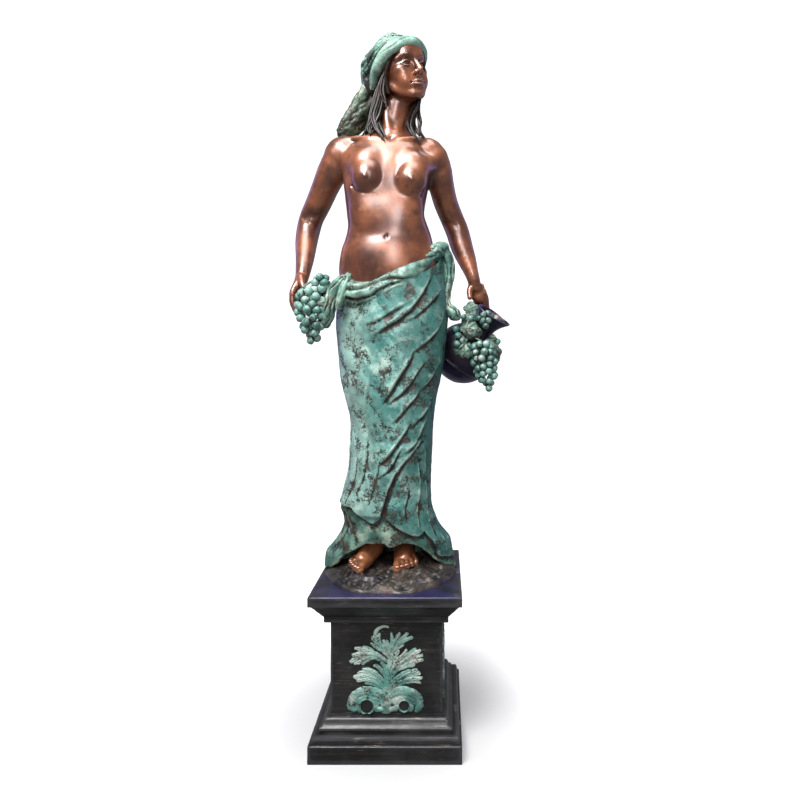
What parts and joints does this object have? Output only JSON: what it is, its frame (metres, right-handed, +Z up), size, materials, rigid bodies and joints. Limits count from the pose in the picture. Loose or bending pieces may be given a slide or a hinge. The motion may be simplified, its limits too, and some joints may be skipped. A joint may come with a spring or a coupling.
{
  "type": "figure sculpture",
  "caption": "Life-size bronze figure of a standing woman in a wrapped skirt and headscarf, holding grapes and a jug, on a square moulded plinth with acanthus ornament.",
  "frame": {"origin": "centre of the plinth's underside", "axes": "+Z up along the plinth's axis, the figure's front towards -Y, her left hand and the jug towards +X"},
  "size_m": [0.7293, 0.457, 2.2745],
  "materials": {
    "patinated_bronze": "patinated, satin",
    "dark_bronze": "dark polished",
    "blackened_bronze": "dark satin",
    "verdigris": "verdigris patina"
  },
  "bodies": {
    "root": {"woman_figure": "patinated_bronze", "jug": "dark_bronze", "plinth": "blackened_bronze", "acanthus_front": "verdigris", "acanthus_right": "verdigris", "acanthus_back": "verdigris", "acanthus_left": "verdigris"}
  },
  "joints": []
}
